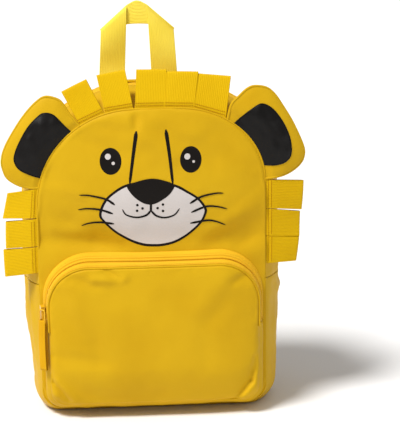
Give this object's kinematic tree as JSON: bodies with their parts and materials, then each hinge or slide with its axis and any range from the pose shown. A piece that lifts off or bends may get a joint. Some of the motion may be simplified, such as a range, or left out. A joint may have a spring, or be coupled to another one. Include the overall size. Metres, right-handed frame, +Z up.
{
  "type": "kids animal backpack",
  "caption": "Small child's backpack with a lion's face: zipped body with a rounded top, zipped front pocket, padded ears, mane of webbing loops, carry handle and padded shoulder straps.",
  "frame": {"origin": "on the floor, in the middle of the flat base", "axes": "+Z up, the face looks along -Y, +X to the right seen from the front"},
  "size_m": [0.2992, 0.1806, 0.4136],
  "materials": {
    "body_cloth": "smooth coated polyester with a soft sheen",
    "back_padding": "padded polyester, fine weave",
    "webbing": "ribbed webbing, satin",
    "zip_tape": "woven tape with a fine coil",
    "zip_slider": "lacquered, glossy",
    "buckle_plastic": "moulded, fine texture",
    "ear_lining": "black satin"
  },
  "bodies": {
    "root": {"front_panel": "body_cloth", "bottom_gusset": "body_cloth", "top_gusset_front": "body_cloth", "top_gusset_back": "body_cloth", "pocket_front": "body_cloth", "ear_left": "body_cloth", "ear_right": "body_cloth", "back_panel": "back_padding", "shoulder_strap_left": "back_padding", "shoulder_strap_right": "back_padding", "mane_top_1": "webbing", "mane_top_2": "webbing", "mane_top_3": "webbing", "mane_top_4": "webbing", "mane_top_5": "webbing", "mane_left_1": "webbing", "mane_left_2": "webbing", "mane_left_3": "webbing", "mane_right_1": "webbing", "mane_right_2": "webbing", "mane_right_3": "webbing", "carry_handle": "webbing", "strap_webbing_left": "webbing", "strap_webbing_right": "webbing", "main_zip_pull": "webbing", "pocket_zip_pull": "webbing", "main_zip": "zip_tape", "pocket_zip": "zip_tape", "main_zip_slider": "zip_slider", "pocket_zip_slider": "zip_slider", "strap_buckle_left": "buckle_plastic", "strap_buckle_right": "buckle_plastic", "ear_lining_left": "ear_lining", "ear_lining_right": "ear_lining"}
  },
  "joints": []
}
